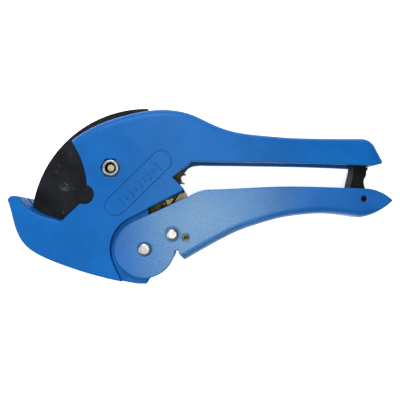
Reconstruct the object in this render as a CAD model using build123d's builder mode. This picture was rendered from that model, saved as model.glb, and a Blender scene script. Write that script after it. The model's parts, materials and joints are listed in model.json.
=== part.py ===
"""Ratchet pipe cutter for plastic pipe up to 40 mm, lying flat with its handles closed.

+X runs along the tool towards the handle ends, +Y from the moving handle towards the fixed one,
and +Z from the back face towards the front face, where the pivot nut is.
"""

from build123d import *
import os
from math import cos, radians, sin

os.makedirs("parts", exist_ok=True)

# ---------------------------------------------------------------- driving dimensions (mm)

BODY_THICKNESS = 24.0
RIVET_STANDS_PROUD = 1.5
CROWN_RADIUS = 4.5
SOFT_EDGE = 1.0

BLADE_PIVOT = (-51.5, 15.0)
HANDLE_PIVOT = (-31.9, -31.9)
PAWL_PIVOT = (-16.0, -23.3)
STOP_PIN_AT = (-8.3, -25.1)
LATCH_PIN_AT = (94.5, -2.8)

BLADE_THICKNESS = 2.0
BLADE_SLOT = 3.0
TOOTH_TIP_RADIUS = 43.2
TOOTH_ROOT_RADIUS = 40.2
TOOTH_COUNT = 10
TOOTH_PITCH = 7.25
FIRST_TOOTH = -18.6
TAIL_RADIUS = 40.5
TAIL_END = -32.0
SECTOR_CLEARANCE_RADIUS = 45.2
NOSE_CLEARANCE_RADIUS = 58.5

CHANNEL_WIDTH = 17.0
WALL = (BODY_THICKNESS - CHANNEL_WIDTH) / 2
PIVOT_POCKET_WIDTH = 12.0
PIVOT_POCKET_RADIUS = 10.0

CHEEK_THICKNESS = 3.0
CHEEK_END_RADIUS = 17.0
RECESS_DEPTH = 3.3
RECESS_RADIUS = 20.0
WEB_THICKNESS = 3.7

SCREW_RADIUS = 3.0
BUSH_RADIUS = 4.5
SPACER_RADIUS = 7.5
HANDLE_RIVET_RADIUS = 3.0
PAWL_RIVET_RADIUS = 2.5
STOP_PIN_RADIUS = 2.1
LATCH_PIN_RADIUS = 1.75
RUNNING_FIT = 0.05
SIDE_GAP = 0.1

NUT_ACROSS_FLATS = 10.0
NUT_HEIGHT = 3.8
NUT_COLLAR = 1.3
SCREW_HEAD_RADIUS = 5.5
SCREW_HEAD_HEIGHT = 3.3

PAWL_THICKNESS = 5.0
HOLD_PAWL_THICKNESS = 2.4
LATCH_WIDTH = 10.0

# ---------------------------------------------------------------- levels along Z

BACK = RIVET_STANDS_PROUD
FRONT = BACK + BODY_THICKNESS
MIDDLE = (BACK + FRONT) / 2
CHEEK_INNER_FRONT = FRONT - CHEEK_THICKNESS
CHEEK_INNER_BACK = BACK + CHEEK_THICKNESS
OUTSIDE = 60.0


def polar(centre, radius, angle):
    """Point at a radius and an angle in degrees from a centre."""
    return (centre[0] + radius * cos(radians(angle)), centre[1] + radius * sin(radians(angle)))


def level(z):
    """Plane parallel to the faces of the tool at height z."""
    return Plane.XY.offset(z)


def upright(centre, z=0.0):
    """Plane through a centre that stands on the tool: its x along +X and its y along +Z."""
    return Plane(origin=(centre[0], centre[1], z), x_dir=(1, 0, 0), z_dir=(0, -1, 0))


def face_edges(part, keep):
    """Edges of the front and back faces whose middle point passes the test."""
    flat = [e for e in part.edges() if abs(e.center().Z - FRONT) < 0.01 or abs(e.center().Z - BACK) < 0.01]
    return [e for e in flat if keep(e.center())]


def save(part, name):
    """Label a finished piece and write it."""
    part.label = name
    export_step(part, f"parts/{name}.step")


# ---------------------------------------------------------------- body casting

HOOK_TIP = (-111.1, -3.6)
HOOK_SLOPE = 2.1
SEAT_TOP = (-104.6, -1.9)
CHIN = (-36.5, -52.2)
LEDGE_TOP = polar(HANDLE_PIVOT, RECESS_RADIUS, 117.0)
JAW_CORNER = (-9.5, 1.95)
BOSS_TOP = (-30.1, -8.54)
GRIP_START = (-4.9, 18.8)
HEAD_CORNER = (-74.8, 31.4)
BUMP_TOP = (-65.0, 5.1)
BUMP_FOOT = (-69.0, -5.5)
HEEL = (-79.8, -15.8)
BADGE_MIDDLE = (-35.3, 5.9)
BADGE_ANGLE = 44.1
BADGE_LENGTH = 36.8
BADGE_RADIUS = 6.1

with BuildPart() as body_casting:
    with BuildSketch(level(BACK)):
        with BuildLine():
            Spline(HOOK_TIP, (-109.0, -10.4), (-106.5, -19.8), (-101.3, -29.2), (-89.3, -37.0),
                   (-75.2, -42.5), (-60.7, -47.0), CHIN)
            Line(CHIN, (-32.0, -52.3))
            ThreePointArc((-32.0, -52.3), (-30.9, -52.0), (-30.4, -51.0))
            Polyline((-30.4, -51.0), (-29.4, -49.0), polar(HANDLE_PIVOT, 9.0, -75))
            ThreePointArc(polar(HANDLE_PIVOT, 9.0, -75), polar(HANDLE_PIVOT, 9.0, 0),
                          polar(HANDLE_PIVOT, 9.0, 75))
            Line(polar(HANDLE_PIVOT, 9.0, 75), BOSS_TOP)
            Line(BOSS_TOP, JAW_CORNER)
            Polyline(JAW_CORNER, (-10.6, 4.5), (-15.8, 9.6), GRIP_START)
            Spline(GRIP_START, (40.0, 18.2), (71.9, 17.5), (94.9, 16.5), (100.6, 16.5), (103.4, 17.1))
            ThreePointArc((103.4, 17.1), (105.4, 18.3), (105.8, 20.4))
            Line((105.8, 20.4), (102.2, 27.2))
            ThreePointArc((102.2, 27.2), (98.9, 31.0), (94.0, 32.4))
            Spline((94.0, 32.4), (70.1, 32.5), (46.7, 33.4), (34.5, 34.5), (23.4, 35.9), (9.0, 40.2),
                   (-5.8, 46.9), (-23.4, 49.4), (-43.0, 46.2), (-60.0, 40.4), HEAD_CORNER)
            ThreePointArc(HEAD_CORNER, (-67.9, 18.8), BUMP_TOP)
            ThreePointArc(BUMP_TOP, (-61.0, -0.5), BUMP_FOOT)
            ThreePointArc(BUMP_FOOT, (-73.3, -9.5), HEEL)
            Spline(HEEL, (-90.3, -12.9), (-96.1, -10.4), (-99.4, -8.0), (-102.7, -4.3), SEAT_TOP)
            Spline(SEAT_TOP, (-106.9, -0.9), (-109.8, -1.5), HOOK_TIP)
        make_face()
    extrude(amount=BODY_THICKNESS)
    fillet(face_edges(body_casting, lambda c: c.Y > 35 or (c.Y > 20 and c.X > 80)), radius=CROWN_RADIUS)
    fillet(face_edges(body_casting, lambda c: c.X < -60 and c.Y < -30), radius=SOFT_EDGE)
    fillet(face_edges(body_casting, lambda c: c.X < -82 and c.Y > -15), radius=SOFT_EDGE)
    fillet(face_edges(body_casting, lambda c: -28 < c.X < -11 and -6 < c.Y < 0), radius=SOFT_EDGE)

    # The top of the hook slopes down towards the back face.
    with BuildSketch(Plane(origin=(-112.0, 0, 0), x_dir=(0, 1, 0), z_dir=(1, 0, 0))):
        with BuildLine():
            Polyline((-0.8, FRONT), (-0.8 - HOOK_SLOPE, BACK), (5.0, BACK), (5.0, FRONT), close=True)
        make_face()
    extrude(amount=14.0, mode=Mode.SUBTRACT)

    # Hollow grip and head, open below, with the lip that the latch hooks over at the far end.
    with BuildSketch(level(MIDDLE - CHANNEL_WIDTH / 2)):
        with BuildLine():
            Polyline((-38.0, 39.0), (-38.0, -2.0), (-30.0, -9.0), (-20.0, -20.0), (-20.0, -OUTSIDE),
                     (OUTSIDE, -OUTSIDE), (98.9, 0.0), (98.9, 18.4), (101.8, 19.0), (101.6, 21.5),
                     (98.5, 27.0), (94.0, 28.4))
            Spline((94.0, 28.4), (70.1, 28.5), (46.7, 29.2), (23.4, 31.7), (7.8, 36.4), (-7.0, 42.4),
                   (-23.4, 45.2), (-38.0, 39.0))
        make_face()
    extrude(amount=CHANNEL_WIDTH, mode=Mode.SUBTRACT)

    # Round pocket for the spacers and the blade spring, open towards the hollow head.
    with BuildSketch(level(MIDDLE - PIVOT_POCKET_WIDTH / 2)):
        with Locations(BLADE_PIVOT):
            Circle(PIVOT_POCKET_RADIUS)
        with BuildLine():
            Polyline(polar(BLADE_PIVOT, PIVOT_POCKET_RADIUS, 75), (-37.0, 36.0), (-37.0, 0.0),
                     polar(BLADE_PIVOT, PIVOT_POCKET_RADIUS, -75), close=True)
        make_face()
    extrude(amount=PIVOT_POCKET_WIDTH, mode=Mode.SUBTRACT)

    # Slot that the blade swings in: tail sector, cutting nose, and the hold pawl's corner.
    with BuildSketch(level(MIDDLE - BLADE_SLOT / 2)):
        with Locations(BLADE_PIVOT):
            Circle(SECTOR_CLEARANCE_RADIUS)
        with BuildLine():
            Line(BLADE_PIVOT, polar(BLADE_PIVOT, NOSE_CLEARANCE_RADIUS, 138))
            ThreePointArc(polar(BLADE_PIVOT, NOSE_CLEARANCE_RADIUS, 138),
                          polar(BLADE_PIVOT, NOSE_CLEARANCE_RADIUS, 180),
                          polar(BLADE_PIVOT, NOSE_CLEARANCE_RADIUS, 229))
            Line(polar(BLADE_PIVOT, NOSE_CLEARANCE_RADIUS, 229), BLADE_PIVOT)
        make_face()
        with Locations(HANDLE_PIVOT):
            Circle(6.0)
        with BuildLine():
            Polyline(polar(HANDLE_PIVOT, 6.0, 130), polar(HANDLE_PIVOT, 24.0, 85), (-15.0, -16.0),
                     (-20.0, -31.0), polar(HANDLE_PIVOT, 6.0, -60), close=True)
        make_face()
    extrude(amount=BLADE_SLOT, mode=Mode.SUBTRACT)

    # Recess on each face for the cheeks of the moving handle.
    for floor in (FRONT - RECESS_DEPTH, BACK - 1.0):
        with BuildSketch(level(floor)):
            with Locations(HANDLE_PIVOT):
                Circle(RECESS_RADIUS)
            with BuildLine():
                Polyline(LEDGE_TOP, JAW_CORNER, (-9.5, -OUTSIDE), (-41.0, -OUTSIDE),
                         polar(HANDLE_PIVOT, RECESS_RADIUS, 205), HANDLE_PIVOT, close=True)
            make_face()
        extrude(amount=RECESS_DEPTH + 1.0, mode=Mode.SUBTRACT)

    # The back wall fills the corner at the root of the grip and reaches down behind the pawl's nose.
    with BuildSketch(level(BACK)):
        with BuildLine():
            Spline((-10.4, 12.8), (-8.8, 15.3), (-6.4, 17.4), (-3.2, 18.4), (2.0, 18.8))
            Polyline((2.0, 18.8), (-4.9, 21.0), (-16.5, 11.5), (-15.8, 9.6), (-12.5, 10.8), (-10.4, 12.8))
        make_face()
        with BuildLine():
            Polyline((-10.6, 4.5), (-7.6, -1.3), (-28.0, -10.7), (-28.0, -6.9), (-13.0, 1.5), close=True)
        make_face()
    extrude(amount=WALL)

    # Ring pocket for the handle spring, with a way out for its leg.
    with BuildSketch(level(FRONT - RECESS_DEPTH - 5.0)):
        with Locations(HANDLE_PIVOT):
            Circle(7.2)
        with Locations((HANDLE_PIVOT[0] + 8.0, HANDLE_PIVOT[1] - 4.6)):
            Rectangle(16.0, 4.4)
    extrude(amount=6.0, mode=Mode.SUBTRACT)

    # Bores for the two pivots, hexagon pocket for the nut and round pocket for the screw head.
    with BuildSketch(level(-1.0)):
        with Locations(BLADE_PIVOT):
            Circle(SCREW_RADIUS + RUNNING_FIT)
        with Locations(HANDLE_PIVOT):
            Circle(HANDLE_RIVET_RADIUS + RUNNING_FIT)
    extrude(amount=BODY_THICKNESS + 4.0, mode=Mode.SUBTRACT)
    with BuildSketch(level(FRONT - NUT_HEIGHT - 0.1)):
        with Locations(BLADE_PIVOT):
            RegularPolygon(radius=NUT_ACROSS_FLATS / 2 + 0.15, side_count=6, major_radius=False)
    extrude(amount=NUT_HEIGHT + 1.0, mode=Mode.SUBTRACT)
    with BuildSketch(level(BACK - 1.0)):
        with Locations(BLADE_PIVOT):
            Circle(SCREW_HEAD_RADIUS + 0.4)
    extrude(amount=SCREW_HEAD_HEIGHT + 1.1, mode=Mode.SUBTRACT)

    # Stadium-shaped badge line on both faces, with plain raised bars inside the front one.
    for bottom in (FRONT - 0.35, BACK - 0.65):
        with BuildSketch(level(bottom)):
            with Locations(Location((BADGE_MIDDLE[0], BADGE_MIDDLE[1], 0), (0, 0, BADGE_ANGLE))):
                SlotCenterToCenter(BADGE_LENGTH, 2 * BADGE_RADIUS + 0.5)
                SlotCenterToCenter(BADGE_LENGTH, 2 * BADGE_RADIUS - 1.1, mode=Mode.SUBTRACT)
        extrude(amount=1.0, mode=Mode.SUBTRACT)
    with BuildSketch(level(FRONT - 0.2)):
        for step in range(-4, 5):
            along = step * 3.6
            spot = (BADGE_MIDDLE[0] + along * cos(radians(BADGE_ANGLE)),
                    BADGE_MIDDLE[1] + along * sin(radians(BADGE_ANGLE)))
            with Locations(Location((spot[0], spot[1], 0), (0, 0, BADGE_ANGLE + 90))):
                SlotOverall(6.4 if step % 2 == 0 else 4.2, 1.2)
    extrude(amount=0.5)
save(body_casting.part, "body_casting")

# ---------------------------------------------------------------- pivot hardware

with BuildPart() as pivot_screw:
    with BuildSketch(level(BACK)):
        with Locations(BLADE_PIVOT):
            Circle(SCREW_HEAD_RADIUS)
    extrude(amount=SCREW_HEAD_HEIGHT)
    fillet(pivot_screw.edges().sort_by(Axis.Z)[0], radius=1.0)
    with BuildSketch(level(BACK + SCREW_HEAD_HEIGHT)):
        with Locations(BLADE_PIVOT):
            Circle(SCREW_RADIUS)
    extrude(amount=BODY_THICKNESS - SCREW_HEAD_HEIGHT - 1.0)
    chamfer(pivot_screw.edges().sort_by(Axis.Z)[-1], length=1.1)
    with BuildSketch(level(BACK)):
        with Locations(BLADE_PIVOT):
            RegularPolygon(radius=2.0, side_count=6, major_radius=False)
    extrude(amount=2.2, mode=Mode.SUBTRACT)
save(pivot_screw.part, "pivot_screw")

with BuildPart() as pivot_nut:
    with BuildSketch(level(FRONT - NUT_HEIGHT)):
        with Locations(BLADE_PIVOT):
            RegularPolygon(radius=NUT_ACROSS_FLATS / 2, side_count=6, major_radius=False)
    extrude(amount=NUT_HEIGHT - NUT_COLLAR)
    with BuildSketch(level(FRONT - NUT_COLLAR)):
        with Locations(BLADE_PIVOT):
            Circle(4.9)
    extrude(amount=NUT_COLLAR + 0.3, taper=8)
    with BuildSketch(level(FRONT - NUT_HEIGHT - 1.0)):
        with Locations(BLADE_PIVOT):
            Circle(SCREW_RADIUS + 0.03)
    extrude(amount=NUT_HEIGHT + 2.0, mode=Mode.SUBTRACT)
    top_rims = pivot_nut.edges().filter_by(GeomType.CIRCLE).group_by(Axis.Z)[-1].sort_by(SortBy.RADIUS)
    chamfer(top_rims[0], length=0.3)
    fillet(pivot_nut.edges().filter_by(GeomType.CIRCLE).group_by(Axis.Z)[-1].sort_by(SortBy.RADIUS)[-1],
           radius=0.5)
save(pivot_nut.part, "pivot_nut")

POCKET_BACK = MIDDLE - PIVOT_POCKET_WIDTH / 2
POCKET_FRONT = MIDDLE + PIVOT_POCKET_WIDTH / 2
BLADE_BACK = MIDDLE - BLADE_THICKNESS / 2
BLADE_FRONT = MIDDLE + BLADE_THICKNESS / 2


def sleeve(name, centre, outer, inner, start, end):
    """Plain tube along Z between two levels."""
    with BuildPart() as tube:
        with BuildSketch(level(start)):
            with Locations(centre):
                Circle(outer)
                Circle(inner, mode=Mode.SUBTRACT)
        extrude(amount=end - start)
        chamfer(tube.edges().filter_by(GeomType.CIRCLE).sort_by(SortBy.RADIUS)[-2:], length=0.25)
    save(tube.part, name)
    return tube.part


sleeve("pivot_bush", BLADE_PIVOT, BUSH_RADIUS, SCREW_RADIUS + RUNNING_FIT,
       POCKET_BACK + SIDE_GAP, POCKET_FRONT - SIDE_GAP)
sleeve("spacer_front", BLADE_PIVOT, SPACER_RADIUS, BUSH_RADIUS + RUNNING_FIT,
       BLADE_FRONT + SIDE_GAP, POCKET_FRONT - SIDE_GAP)
sleeve("spacer_back", BLADE_PIVOT, SPACER_RADIUS, BUSH_RADIUS + RUNNING_FIT,
       POCKET_BACK + SIDE_GAP, BLADE_BACK - SIDE_GAP)


def torsion_spring(name, centre, start, coil, wire, turns, pitch, first_angle, legs):
    """Helical wire about Z that runs out into a straight leg at each end.

    coil and wire are radii, first_angle is where the coil starts, and legs are the two leg lengths.
    """
    with BuildPart() as spring:
        with BuildLine() as path:
            coils = Helix(pitch=pitch, height=pitch * turns, radius=coil,
                          center=(centre[0], centre[1], start + wire))
            Line((coils @ 0) - (coils % 0) * legs[0], coils @ 0)
            Line(coils @ 1, (coils @ 1) + (coils % 1) * legs[1])
        with BuildSketch(Plane(origin=path.wire() @ 0, z_dir=path.wire() % 0)):
            Circle(wire)
        sweep(path=path.wire())
    save(spring.part.rotate(Axis((centre[0], centre[1], 0), (0, 0, 1)), first_angle), name)


torsion_spring("blade_spring", BLADE_PIVOT, BLADE_FRONT + 0.35, 8.6, 0.6, 2.5, 1.3, 90, (10.0, 12.0))

# ---------------------------------------------------------------- blade

SPINE_END = (-31.6, 51.8)
SPINE_NOSE = (-100.3, -4.0)
CUT_TIP = (-92.5, -24.6)
EDGE_ROOT = (-63.0, -3.2)
TAIL_CORNER = (-29.4, -13.2)
BEVEL_WIDTH = 3.8


def tooth_foot(number):
    """Foot of the steep lower face of a ratchet tooth, counted from the tail upwards."""
    return polar(BLADE_PIVOT, TOOTH_ROOT_RADIUS, FIRST_TOOTH + number * TOOTH_PITCH - 1.9)


with BuildPart() as blade:
    with BuildSketch(level(BLADE_BACK)):
        with BuildLine():
            ThreePointArc(SPINE_END, (-79.0, 33.6), SPINE_NOSE)
            ThreePointArc(SPINE_NOSE, (-99.6, -15.0), CUT_TIP)
            Line(CUT_TIP, EDGE_ROOT)
            Spline(EDGE_ROOT, (-57.0, 1.2), (-47.0, 1.0), (-38.0, -6.5), TAIL_CORNER)
            Line(TAIL_CORNER, polar(BLADE_PIVOT, TAIL_RADIUS, TAIL_END))
            ThreePointArc(polar(BLADE_PIVOT, TAIL_RADIUS, TAIL_END), polar(BLADE_PIVOT, TAIL_RADIUS, -26),
                          tooth_foot(0))
            for tooth in range(TOOTH_COUNT):
                tip = FIRST_TOOTH + tooth * TOOTH_PITCH
                crest = polar(BLADE_PIVOT, TOOTH_TIP_RADIUS, tip + 0.3)
                Polyline(tooth_foot(tooth), polar(BLADE_PIVOT, TOOTH_ROOT_RADIUS + 0.3, tip - 0.8),
                         polar(BLADE_PIVOT, TOOTH_TIP_RADIUS, tip - 0.4), crest)
                ThreePointArc(crest, polar(BLADE_PIVOT, TOOTH_ROOT_RADIUS + 0.6, tip + 2.6),
                              tooth_foot(tooth + 1))
            Line(tooth_foot(TOOTH_COUNT), SPINE_END)
        make_face()
        with Locations(BLADE_PIVOT):
            Circle(BUSH_RADIUS + RUNNING_FIT, mode=Mode.SUBTRACT)
    extrude(amount=BLADE_THICKNESS)
    # The cutting edge is ground on both sides, from the tip to the root of the edge.
    edge_run = Vector(*EDGE_ROOT) - Vector(*CUT_TIP)
    before_tip = Vector(*CUT_TIP, MIDDLE) - edge_run.normalized() * 4
    half = BLADE_THICKNESS / 2
    for side in (1, -1):
        with BuildSketch(Plane(origin=before_tip, x_dir=(0, 0, 1), z_dir=edge_run)):
            with BuildLine():
                Polyline((side * 0.1, 0), (side * half * 1.05, -BEVEL_WIDTH),
                         (side * half * 1.5, -BEVEL_WIDTH), (side * half * 1.5, 1.0), (side * 0.1, 1.0),
                         close=True)
            make_face()
        extrude(amount=edge_run.length + 4, mode=Mode.SUBTRACT)
save(blade.part, "blade")

# ---------------------------------------------------------------- moving handle

CHEEK_TANGENT = polar(HANDLE_PIVOT, CHEEK_END_RADIUS, 115.2)
NOTCH_EDGE = polar(HANDLE_PIVOT, CHEEK_END_RADIUS + 0.3, -17.0)
CHEEK_LOW = polar(HANDLE_PIVOT, CHEEK_END_RADIUS - 0.2, -95.0)
NOTCH_TOP = (-13.6, -32.5)
WEB_END = (-8.8, -38.3)
HANDLE_TIP = (110.9, -3.7)
UNDERSIDE = [(0.0, -33.2), (11.7, -26.7), (23.4, -21.1), (35.1, -17.1), (46.7, -13.9), (58.4, -12.1),
             (70.1, -11.3), (81.8, -11.9), (93.5, -13.6)]

with BuildPart() as moving_handle:
    with BuildSketch(level(BACK)):
        with BuildLine():
            Line(CHEEK_TANGENT, (-6.8, -1.6))
            Spline((-6.8, -1.6), (-2.9, 0.6), (0.6, 1.9), (5.8, 2.5))
            Spline((5.8, 2.5), (23.0, 3.2), (46.1, 4.2), (69.1, 4.0), (95.1, 3.1))
            ThreePointArc((95.1, 3.1), (103.7, 1.2), HANDLE_TIP)
            ThreePointArc(HANDLE_TIP, (104.6, -8.8), (96.6, -13.0))
            Line((96.6, -13.0), UNDERSIDE[-1])
            Spline(*reversed(UNDERSIDE), WEB_END)
            Line(WEB_END, (-12.2, -34.2))
            ThreePointArc((-12.2, -34.2), NOTCH_TOP, (-14.6, -33.6))
            Line((-14.6, -33.6), NOTCH_EDGE)
            ThreePointArc(NOTCH_EDGE, polar(HANDLE_PIVOT, CHEEK_END_RADIUS - 0.3, -55), CHEEK_LOW)
            ThreePointArc(CHEEK_LOW, polar(HANDLE_PIVOT, CHEEK_END_RADIUS, 180), CHEEK_TANGENT)
        make_face()
    extrude(amount=BODY_THICKNESS)
    fillet(face_edges(moving_handle, lambda c: c.Y < -9 and c.X > 5 and c.X < 96), radius=CROWN_RADIUS)
    with BuildSketch(level(CHEEK_INNER_BACK)):
        with BuildLine():
            floor_line = [(x, y + WEB_THICKNESS) for x, y in UNDERSIDE]
            Spline((-11.0, -35.6), *floor_line)
            Polyline(floor_line[-1], (98.5, -8.5), (103.5, -4.0), (104.5, OUTSIDE), (-OUTSIDE, OUTSIDE),
                     (-OUTSIDE, -OUTSIDE), (-11.0, -OUTSIDE), (-11.0, -35.6))
        make_face()
    extrude(amount=BODY_THICKNESS - 2 * CHEEK_THICKNESS, mode=Mode.SUBTRACT)
    with BuildSketch(level(-1.0)):
        with Locations(HANDLE_PIVOT):
            Circle(HANDLE_RIVET_RADIUS + RUNNING_FIT)
        with Locations(PAWL_PIVOT):
            Circle(PAWL_RIVET_RADIUS + RUNNING_FIT)
        with Locations(STOP_PIN_AT):
            Circle(STOP_PIN_RADIUS + RUNNING_FIT)
        with Locations(LATCH_PIN_AT):
            Circle(LATCH_PIN_RADIUS + RUNNING_FIT)
    extrude(amount=BODY_THICKNESS + 4.0, mode=Mode.SUBTRACT)
    for face_level in (FRONT - 0.4, BACK - 0.6):
        with BuildSketch(level(face_level)):
            with Locations(PAWL_PIVOT):
                Circle(4.3)
            with Locations(HANDLE_PIVOT):
                Circle(4.3)
        extrude(amount=1.0, mode=Mode.SUBTRACT)
save(moving_handle.part, "moving_handle")


def rivet(name, centre, shank, head):
    """Rivet through both cheeks with a domed head on each face."""
    head_height = RIVET_STANDS_PROUD + 0.4
    with BuildPart() as pin:
        with BuildSketch(level(BACK + 0.4)):
            with Locations(centre):
                Circle(shank)
        extrude(amount=BODY_THICKNESS - 0.8)
        for start in (BACK + 0.4 - head_height, FRONT - 0.4):
            with BuildSketch(level(start)):
                with Locations(centre):
                    Circle(head)
            extrude(amount=head_height)
        rims = pin.edges().filter_by(GeomType.CIRCLE).group_by(Axis.Z)
        fillet(rims[0] + rims[-1], radius=head_height * 0.85)
    save(pin.part, name)


rivet("handle_rivet", HANDLE_PIVOT, HANDLE_RIVET_RADIUS, 3.9)
rivet("pawl_rivet", PAWL_PIVOT, PAWL_RIVET_RADIUS, 3.6)
torsion_spring("handle_spring", HANDLE_PIVOT, FRONT - RECESS_DEPTH - 4.8, 5.3, 0.6, 2.5, 1.3, 90, (0.8, 11.0))

with BuildPart() as stop_pin:
    with BuildSketch(level(BACK + 0.5)):
        with Locations(STOP_PIN_AT):
            Circle(STOP_PIN_RADIUS)
    extrude(amount=BODY_THICKNESS - 1.0)
    for bottom in (FRONT - 3.5, BACK - 0.5):
        with BuildSketch(level(bottom)):
            with Locations(STOP_PIN_AT):
                Circle(1.2)
            with Locations((STOP_PIN_AT[0] + STOP_PIN_RADIUS, STOP_PIN_AT[1])):
                Rectangle(2.6, 0.7)
        extrude(amount=4.0, mode=Mode.SUBTRACT)
save(stop_pin.part, "stop_pin")

# ---------------------------------------------------------------- drive pawl

with BuildPart() as drive_pawl:
    with BuildSketch(level(MIDDLE - PAWL_THICKNESS / 2)):
        with BuildLine():
            Line((-12.3, 0.3), (-9.2, 1.2))
            ThreePointArc((-9.2, 1.2), (-8.3, 0.9), (-8.2, 0.0))
            Spline((-8.2, 0.0), (-8.4, -6.0), (-10.4, -14.0), (-11.6, -20.6))
            Polyline((-11.6, -20.6), (-11.9, -27.6), (-8.0, -28.0), (-7.6, -30.0), (-14.0, -29.8))
            ThreePointArc((-14.0, -29.8), (-19.9, -26.4), (-20.8, -22.5))
            Spline((-20.8, -22.5), (-19.0, -14.0), (-16.4, -8.0), (-14.4, -3.0), (-12.3, 0.3))
        make_face()
        with Locations(PAWL_PIVOT):
            Circle(PAWL_RIVET_RADIUS + RUNNING_FIT, mode=Mode.SUBTRACT)
    extrude(amount=PAWL_THICKNESS)
save(drive_pawl.part, "drive_pawl")

PAWL_FRONT = MIDDLE + PAWL_THICKNESS / 2
PAWL_BACK = MIDDLE - PAWL_THICKNESS / 2
sleeve("pawl_spacer_front", PAWL_PIVOT, 3.8, PAWL_RIVET_RADIUS + RUNNING_FIT,
       PAWL_FRONT + SIDE_GAP, CHEEK_INNER_FRONT - SIDE_GAP)
sleeve("pawl_spacer_back", PAWL_PIVOT, 3.8, PAWL_RIVET_RADIUS + RUNNING_FIT,
       CHEEK_INNER_BACK + SIDE_GAP, PAWL_BACK - SIDE_GAP)
torsion_spring("pawl_spring", PAWL_PIVOT, PAWL_FRONT + 0.4, 4.6, 0.45, 3, 1.0, -10, (5.0, 12.0))

# ---------------------------------------------------------------- hold pawl

HOLD_NOSE = polar(BLADE_PIVOT, TOOTH_TIP_RADIUS + 0.5, -52.0)

with BuildPart() as hold_pawl:
    with BuildSketch(level(MIDDLE - HOLD_PAWL_THICKNESS / 2)):
        with BuildLine():
            Line(polar(HANDLE_PIVOT, 5.2, 125), (HOLD_NOSE[0] - 3.2, HOLD_NOSE[1] - 2.6))
            Line((HOLD_NOSE[0] - 3.2, HOLD_NOSE[1] - 2.6), HOLD_NOSE)
            Line(HOLD_NOSE, (HOLD_NOSE[0] + 1.2, HOLD_NOSE[1] - 2.6))
            Line((HOLD_NOSE[0] + 1.2, HOLD_NOSE[1] - 2.6), polar(HANDLE_PIVOT, 5.2, -20))
            ThreePointArc(polar(HANDLE_PIVOT, 5.2, -20), polar(HANDLE_PIVOT, 5.2, -130),
                          polar(HANDLE_PIVOT, 5.2, 125))
        make_face()
        with Locations(HANDLE_PIVOT):
            Circle(HANDLE_RIVET_RADIUS + RUNNING_FIT, mode=Mode.SUBTRACT)
    extrude(amount=HOLD_PAWL_THICKNESS)
save(hold_pawl.part, "hold_pawl")

# ---------------------------------------------------------------- latch

with BuildPart() as latch:
    with BuildSketch(level(MIDDLE - LATCH_WIDTH / 2)):
        with BuildLine():
            Polyline((97.0, 19.7), (95.6, 18.6), (95.7, 17.0), (97.0, 16.1), (99.4, 15.9))
            ThreePointArc((99.4, 15.9), (99.4, 14.8), (98.6, 13.9))
            Spline((98.6, 13.9), (98.4, 11.3), (97.2, 8.9))
            Spline((97.2, 8.9), (97.1, 6.5), (97.7, 4.0), (99.6, -0.6), (100.2, -3.4))
            ThreePointArc((100.2, -3.4), (94.5, -8.5), (88.9, -4.0))
            Spline((88.9, -4.0), (88.7, 0.4), (89.1, 4.0), (90.3, 9.5), (91.4, 14.5), (91.7, 18.0))
            ThreePointArc((91.7, 18.0), (92.8, 21.6), (95.4, 22.4))
            Line((95.4, 22.4), (97.0, 19.7))
        make_face()
        with Locations(LATCH_PIN_AT):
            Circle(LATCH_PIN_RADIUS + RUNNING_FIT, mode=Mode.SUBTRACT)
    extrude(amount=LATCH_WIDTH)
save(latch.part, "latch")

with BuildPart() as latch_pin:
    with BuildSketch(level(BACK + 0.8)):
        with Locations(LATCH_PIN_AT):
            Circle(LATCH_PIN_RADIUS)
            Circle(0.8, mode=Mode.SUBTRACT)
    extrude(amount=BODY_THICKNESS - 1.6)
save(latch_pin.part, "latch_pin")
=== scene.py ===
"""Looks for the ratchet pipe cutter: materials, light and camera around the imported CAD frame."""

import json

import bpy
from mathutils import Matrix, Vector


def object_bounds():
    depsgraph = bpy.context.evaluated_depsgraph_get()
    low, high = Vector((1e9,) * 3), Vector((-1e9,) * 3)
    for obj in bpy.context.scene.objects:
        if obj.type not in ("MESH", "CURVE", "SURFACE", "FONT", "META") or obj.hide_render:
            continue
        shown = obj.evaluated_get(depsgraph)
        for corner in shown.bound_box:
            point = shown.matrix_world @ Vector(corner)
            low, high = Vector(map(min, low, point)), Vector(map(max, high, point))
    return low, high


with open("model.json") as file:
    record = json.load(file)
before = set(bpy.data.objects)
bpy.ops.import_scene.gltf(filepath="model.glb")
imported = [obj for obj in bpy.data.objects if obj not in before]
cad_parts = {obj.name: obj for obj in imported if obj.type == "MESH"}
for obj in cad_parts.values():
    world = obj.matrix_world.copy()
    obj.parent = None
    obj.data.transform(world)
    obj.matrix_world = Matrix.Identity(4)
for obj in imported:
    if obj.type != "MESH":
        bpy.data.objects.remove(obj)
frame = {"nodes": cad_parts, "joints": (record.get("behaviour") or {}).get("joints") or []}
cad_low, cad_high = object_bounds()
nodes = frame["nodes"]

MM = 0.001

# Where features lie on the pieces, in metres
# span along the pieces of the pale dusting and painted sheen on the paint, a lighter tone that stands in
# for a glossy highlight near the pivots
DUSTING_AND_SHEEN_ALONG_GRIPS = (75.0 * MM, 5.0 * MM)
DUSTING_AND_SHEEN_BEHIND_JAW = (-50.0 * MM, -20.0 * MM)
RUB_CENTRE = (-81.8 * MM, 4.4 * MM, 14.5 * MM)
RUB_RADII = (4.0 * MM, 1.0 * MM)
SECTOR_START = (16.0 * MM, 24.0 * MM)
# levels below which the nut, the screw end and the stop pin are painted dark as shade in their recesses
NUT_SHADE_LEVEL = 24.7 * MM
SCREW_SHADE_LEVEL = 24.3 * MM
PIN_SHADE_LEVEL = 24.6 * MM


# ---------------------------------------------------------------- node helpers

def new_material(name):
    """Empty node material with a Principled shader; returns the material, its tree and the shader."""
    material = bpy.data.materials.new(name)
    material.use_nodes = True
    tree = material.node_tree
    shader = tree.nodes["Principled BSDF"]
    return material, tree, shader


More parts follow.
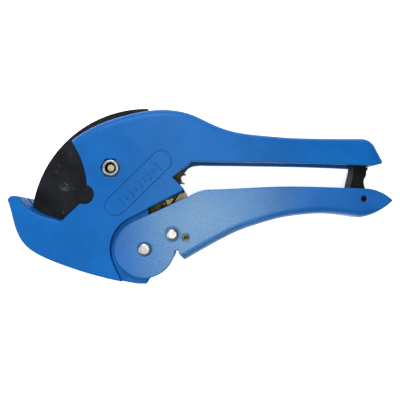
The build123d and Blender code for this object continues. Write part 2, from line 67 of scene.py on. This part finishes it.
def node(tree, kind, inputs=None, **settings):
    """Adds a node, sets its properties, and sets or links its inputs by name or number."""
    made = tree.nodes.new(kind)
    for key, value in settings.items():
        setattr(made, key, value)
    for key, value in (inputs or {}).items():
        if isinstance(value, bpy.types.NodeSocket):
            tree.links.new(value, made.inputs[key])
        else:
            made.inputs[key].default_value = value
    return made


def object_space(tree):
    """Texture coordinate that is fixed to the piece, in metres."""
    return node(tree, "ShaderNodeTexCoord").outputs["Object"]


def noise(tree, where, scale, detail=2.0, roughness=0.5):
    """Noise between 0 and 1, with features about 1 / scale metres wide."""
    made = node(tree, "ShaderNodeTexNoise", {"Vector": where, "Scale": scale, "Detail": detail,
                                             "Roughness": roughness})
    return made.outputs["Fac"]


def step_up(tree, value, low, high, to_low=0.0, to_high=1.0):
    """Smoothly remaps value from the range low..high to to_low..to_high."""
    made = node(tree, "ShaderNodeMapRange", {"Value": value, "From Min": low, "From Max": high,
                                             "To Min": to_low, "To Max": to_high},
                interpolation_type="SMOOTHSTEP")
    return made.outputs["Result"]


def mix(tree, factor, first, second):
    """Blend of two colours."""
    made = node(tree, "ShaderNodeMix", data_type="RGBA")
    for socket, value in ((made.inputs[0], factor), (made.inputs[6], first), (made.inputs[7], second)):
        if isinstance(value, bpy.types.NodeSocket):
            tree.links.new(value, socket)
        else:
            socket.default_value = value if isinstance(value, float) else (*value, 1.0)
    return made.outputs[2]


def arithmetic(tree, operation, first, second):
    """Math node on two values."""
    return node(tree, "ShaderNodeMath", {0: first, 1: second}, operation=operation).outputs[0]


def bump(tree, shader, heights, rounding=0.0):
    """Chain of bump nodes from (height, strength, distance in metres) into the shader's normal.

    With a rounding in metres, sharp edges also catch the light as if they were rounded that much.
    """
    normal = None
    if rounding:
        normal = node(tree, "ShaderNodeBevel", {"Radius": rounding}, samples=8).outputs["Normal"]
    for height, strength, distance in heights:
        inputs = {"Height": height, "Strength": strength, "Distance": distance}
        if normal is not None:
            inputs["Normal"] = normal
        normal = node(tree, "ShaderNodeBump", inputs).outputs["Normal"]
    tree.links.new(normal, shader.inputs["Normal"])


def edge_mask(tree, width, low=0.02, high=0.25):
    """1 along sharp edges, 0 on flat faces, from a bevelled normal compared with the true one."""
    rounded = node(tree, "ShaderNodeBevel", {"Radius": width}, samples=6).outputs["Normal"]
    true = node(tree, "ShaderNodeNewGeometry").outputs["Normal"]
    likeness = node(tree, "ShaderNodeVectorMath", {0: rounded, 1: true}, operation="DOT_PRODUCT")
    away = arithmetic(tree, "SUBTRACT", 1.0, likeness.outputs["Value"])
    return step_up(tree, away, low, high)


# ---------------------------------------------------------------- materials

def powder_coat(name, colour, dusting_and_sheen, roughness, gloss):
    """Blue powder coat: fine orange peel, uneven gloss, cloudy tone, rubbed edges, pale dusting and a
    painted sheen.

    The pale dusting and the painted sheen, a lighter cyan tone that stands in for a glossy highlight, are
    thickest over the pivots at the root of the handles and fade out along the grips.
    """
    material, tree, shader = new_material(name)
    where = object_space(tree)
    grain = noise(tree, where, 1100.0, 3.0, 0.65)
    peel = noise(tree, where, 520.0, 2.0, 0.5)
    cloud = noise(tree, where, 28.0, 4.0, 0.6)
    deep = tuple(c * 0.82 for c in colour)
    tone = mix(tree, step_up(tree, cloud, 0.3, 0.7), deep, colour)
    along = node(tree, "ShaderNodeSeparateXYZ", {0: where}).outputs["X"]
    # painted sheen mixed with pale dusting: a lighter cyan tone over the pivot end of the grips stands in
    # for a glossy highlight
    dusting_and_sheen_mask = arithmetic(tree, "MULTIPLY", step_up(tree, along, *DUSTING_AND_SHEEN_ALONG_GRIPS),
                      step_up(tree, along, *DUSTING_AND_SHEEN_BEHIND_JAW))
    dusting_and_sheen_mask = arithmetic(tree, "MULTIPLY", dusting_and_sheen_mask, step_up(tree, grain, 0.35, 0.68, 0.2, 1.0))
    tone = mix(tree, arithmetic(tree, "MULTIPLY", dusting_and_sheen_mask, dusting_and_sheen), tone, DUSTING_AND_SHEEN_COLOUR)
    tone = mix(tree, step_up(tree, grain, 0.56, 0.74, 0.0, 0.10), tone, PALE_BLUE)
    worn = arithmetic(tree, "MULTIPLY", edge_mask(tree, 0.5 * MM), step_up(tree, cloud, 0.5, 0.72))
    tone = mix(tree, arithmetic(tree, "MULTIPLY", worn, 0.25), tone, PALE_BLUE)
    tree.links.new(tone, shader.inputs["Base Color"])
    tree.links.new(step_up(tree, cloud, 0.3, 0.75, roughness, roughness + 0.1), shader.inputs["Roughness"])
    shader.inputs["Specular IOR Level"].default_value = gloss
    bump(tree, shader, [(peel, 0.35, 0.12 * MM), (grain, 0.45, 0.10 * MM)], rounding=1.2 * MM)
    return material


def blade_black(name):
    """Black coated steel, speckled and lightly scratched, browned and brassy over the ratchet sector."""
    material, tree, shader = new_material(name)
    where = object_space(tree)
    pivot = frame_pivot("blade_swing")
    offset = node(tree, "ShaderNodeVectorMath", {0: where, 1: pivot},
                  operation="SUBTRACT").outputs["Vector"]
    parts = node(tree, "ShaderNodeSeparateXYZ", {0: offset})
    grain = noise(tree, where, 900.0, 3.0, 0.6)
    blotch = noise(tree, where, 90.0, 4.0, 0.55)
    speck = noise(tree, where, 420.0, 1.0, 0.4)
    black = mix(tree, step_up(tree, blotch, 0.35, 0.65), (0.006, 0.0065, 0.009), (0.012, 0.013, 0.018))
    black = mix(tree, step_up(tree, speck, 0.68, 0.78, 0.0, 0.35), black, (0.11, 0.11, 0.12))
    across = node(tree, "ShaderNodeMapping", {"Vector": where, "Rotation": (0.0, 0.0, 1.1),
                                              "Scale": (1.0, 9.0, 1.0)}).outputs["Vector"]
    scratch = arithmetic(tree, "MULTIPLY", step_up(tree, noise(tree, across, 260.0, 2.0, 0.5), 0.68, 0.76),
                         step_up(tree, noise(tree, where, 70.0, 2.0, 0.5), 0.52, 0.66))
    black = mix(tree, arithmetic(tree, "MULTIPLY", scratch, 0.5), black, (0.16, 0.16, 0.17))
    from_rub = node(tree, "ShaderNodeVectorMath", {0: where, 1: RUB_CENTRE},
                    operation="DISTANCE").outputs["Value"]
    rub = arithmetic(tree, "MULTIPLY", step_up(tree, from_rub, *RUB_RADII),
                     step_up(tree, noise(tree, across, 330.0, 2.0, 0.5), 0.52, 0.66))
    black = mix(tree, arithmetic(tree, "MULTIPLY", rub, 0.6), black, (0.20, 0.20, 0.21))
    brown = mix(tree, step_up(tree, blotch, 0.4, 0.65), (0.010, 0.008, 0.004), (0.09, 0.065, 0.03))
    brown = mix(tree, step_up(tree, noise(tree, where, 240.0, 2.0, 0.5), 0.58, 0.68), brown,
                (0.42, 0.31, 0.14))
    sector = step_up(tree, parts.outputs["X"], *SECTOR_START)
    tree.links.new(mix(tree, sector, black, brown), shader.inputs["Base Color"])
    tree.links.new(step_up(tree, sector, 0.0, 1.0, 0.0, 0.75), shader.inputs["Metallic"])
    tree.links.new(step_up(tree, grain, 0.3, 0.7, 0.42, 0.62), shader.inputs["Roughness"])
    shader.inputs["Specular IOR Level"].default_value = 0.08
    bump(tree, shader, [(grain, 0.25, 0.04 * MM), (blotch, 0.2, 0.1 * MM)], rounding=0.3 * MM)
    return material


def frame_pivot(joint_name):
    """Where a joint's axis passes, in metres."""
    return next(tuple(j["pos_m"]) for j in frame["joints"] if j["name"] == joint_name)


# near-black painted shade for the parts of a piece that sit down in a recess
PAINTED_RECESS_SHADE = (0.055, 0.055, 0.06)


def metal(name, colour, roughness, stain, tarnish=0.4, dents=0.06, shade_level=None):
    """Plated or drawn metal with fine grain and patches of tarnish.

    Below the last argument's level in metres the colour is painted dark as shade, for pieces that sit in a
    recess.
    """
    material, tree, shader = new_material(name)
    where = object_space(tree)
    grain = noise(tree, where, 1800.0, 3.0, 0.6)
    patch = noise(tree, where, 260.0, 3.0, 0.55)
    tone = mix(tree, step_up(tree, patch, 0.45, 0.7, 0.0, tarnish), colour, stain)
    # painted shade: the colour darkens below the given level, where the piece sits in its recess
    if shade_level:
        depth = node(tree, "ShaderNodeSeparateXYZ", {0: where}).outputs["Z"]
        tone = mix(tree, step_up(tree, depth, shade_level - 0.2 * MM, shade_level + 0.1 * MM), PAINTED_RECESS_SHADE, tone)
    tree.links.new(tone, shader.inputs["Base Color"])
    tree.links.new(step_up(tree, grain, 0.3, 0.7, roughness, roughness + 0.15), shader.inputs["Roughness"])
    shader.inputs["Metallic"].default_value = 1.0
    bump(tree, shader, [(grain, 0.2, 0.02 * MM), (patch, 0.4, dents * MM)])
    return material


def moulded_plastic(name, colour):
    """Black nylon: soft gloss, fine spark texture and a few pale scuffs."""
    material, tree, shader = new_material(name)
    where = object_space(tree)
    grain = noise(tree, where, 1600.0, 2.0, 0.5)
    scuff = noise(tree, where, 150.0, 5.0, 0.7)
    tone = mix(tree, step_up(tree, scuff, 0.58, 0.72, 0.0, 0.3), colour, (0.04, 0.04, 0.045))
    shader.inputs["Specular IOR Level"].default_value = 0.12
    tree.links.new(tone, shader.inputs["Base Color"])
    tree.links.new(step_up(tree, grain, 0.3, 0.7, 0.42, 0.6), shader.inputs["Roughness"])
    bump(tree, shader, [(grain, 0.3, 0.03 * MM)])
    return material


CASTING_BLUE = (0.003, 0.125, 0.47)
HANDLE_BLUE = (0.003, 0.118, 0.455)
PALE_BLUE = (0.16, 0.34, 0.62)
# pale cyan of the dusting and of the painted sheen that stands in for a glossy highlight
DUSTING_AND_SHEEN_COLOUR = (0.22, 0.47, 0.53)

# the second number is how strong the pale dusting and painted sheen are on each paint
casting_paint = powder_coat("casting_paint", CASTING_BLUE, 0.05, 0.36, 0.13)
handle_paint = powder_coat("handle_paint", HANDLE_BLUE, 0.30, 0.28, 0.50)
bright_steel = metal("bright_steel", (0.46, 0.42, 0.45), 0.34, (0.20, 0.18, 0.17), dents=0.45)
nut_steel = metal("nut_steel", (0.36, 0.38, 0.44), 0.28, (0.15, 0.16, 0.19), shade_level=NUT_SHADE_LEVEL)
inner_steel = metal("inner_steel", (0.42, 0.42, 0.42), 0.35, (0.2, 0.19, 0.17))
spring_wire = metal("spring_wire", (0.30, 0.29, 0.28), 0.32, (0.14, 0.12, 0.10))
screw_zinc = metal("screw_zinc", (0.42, 0.36, 0.25), 0.34, (0.22, 0.16, 0.09), tarnish=0.8,
                   shade_level=SCREW_SHADE_LEVEL)
dull_zinc = metal("dull_zinc", (0.22, 0.19, 0.10), 0.45, (0.05, 0.04, 0.02), tarnish=0.9,
                  shade_level=PIN_SHADE_LEVEL)
pawl_zinc = metal("pawl_zinc", (0.30, 0.26, 0.17), 0.5, (0.12, 0.08, 0.04), tarnish=0.9)
nylon = moulded_plastic("nylon", (0.007, 0.007, 0.008))

LOOKS = {
    "body_casting": casting_paint,
    "moving_handle": handle_paint,
    "blade": blade_black("blade_black"),
    "pivot_screw": screw_zinc,
    "pivot_nut": nut_steel,
    "pivot_bush": inner_steel,
    "spacer_front": inner_steel,
    "spacer_back": inner_steel,
    "blade_spring": spring_wire,
    "handle_spring": spring_wire,
    "pawl_spring": spring_wire,
    "handle_rivet": bright_steel,
    "pawl_rivet": bright_steel,
    "stop_pin": dull_zinc,
    "drive_pawl": pawl_zinc,
    "hold_pawl": pawl_zinc,
    "pawl_spacer_front": inner_steel,
    "pawl_spacer_back": inner_steel,
    "latch": nylon,
    "latch_pin": nylon,
}

for name, look in LOOKS.items():
    piece = nodes[name]
    for place in piece.material_slots:
        place.material = look


# ---------------------------------------------------------------- floor, light and camera

def floor():
    """Plain white floor just under the tool."""
    bpy.ops.mesh.primitive_plane_add(size=60.0, location=(0, 0, cad_low.z - 0.3 * MM))
    sheet = bpy.context.object
    sheet.name = "floor"
    material, tree, shader = new_material("floor_white")
    speckle = noise(tree, object_space(tree), 60.0, 2.0)
    tree.links.new(mix(tree, speckle, (0.93, 0.93, 0.93), (0.95, 0.95, 0.95)), shader.inputs["Base Color"])
    shader.inputs["Roughness"].default_value = 0.9
    shader.inputs["Emission Color"].default_value = (1.0, 1.0, 1.0, 1.0)
    shader.inputs["Emission Strength"].default_value = 0.75
    sheet.data.materials.append(material)


def area_light(name, place, aim, size, power, tint=(1, 1, 1)):
    """Soft square light aimed at a point."""
    data = bpy.data.lights.new(name, "AREA")
    data.shape = "SQUARE"
    data.size = size
    data.energy = power
    data.color = tint
    lamp = bpy.data.objects.new(name, data)
    bpy.context.scene.collection.objects.link(lamp)
    lamp.location = place
    lamp.rotation_euler = (Vector(aim) - Vector(place)).to_track_quat("-Z", "Y").to_euler()


def light():
    """Even studio light: a pale surround, a broad key and fill from the sides and a soft light overhead."""
    world = bpy.data.worlds.new("studio")
    bpy.context.scene.world = world
    world.use_nodes = True
    world.node_tree.nodes["Background"].inputs["Color"].default_value = (1.0, 1.0, 1.0, 1.0)
    world.node_tree.nodes["Background"].inputs["Strength"].default_value = 0.12
    area_light("key", (-0.20, 0.55, 0.75), (0, 0, 0), 0.3, 5.8)
    area_light("fill", (-0.75, -0.25, 0.50), (0, 0, 0), 0.5, 3.5)
    area_light("glow", (0.014, -0.040, 0.48), (0.014, -0.040, 0.0), 0.18, 0.80, (0.87, 1.0, 0.82))


CAMERA_HEIGHT = 225.0 * MM
FRONT_LEVEL = 25.5 * MM
VIEW_WIDTH = 230.0 * MM
VIEW_CENTRE = (0.0, -3.5 * MM)
LENS_SHIFT = 0.0225


def camera():
    """Looks straight down on the flat tool from close above, from just below its middle."""
    data = bpy.data.cameras.new("camera")
    data.sensor_width = 36.0
    data.lens = data.sensor_width * CAMERA_HEIGHT / VIEW_WIDTH
    eye = bpy.data.objects.new("camera", data)
    bpy.context.scene.collection.objects.link(eye)
    data.shift_y = LENS_SHIFT
    eye.location = (VIEW_CENTRE[0], VIEW_CENTRE[1] - LENS_SHIFT * VIEW_WIDTH, FRONT_LEVEL + CAMERA_HEIGHT)
    bpy.context.scene.camera = eye


floor()
light()
camera()
bpy.context.scene.view_settings.view_transform = "Standard"
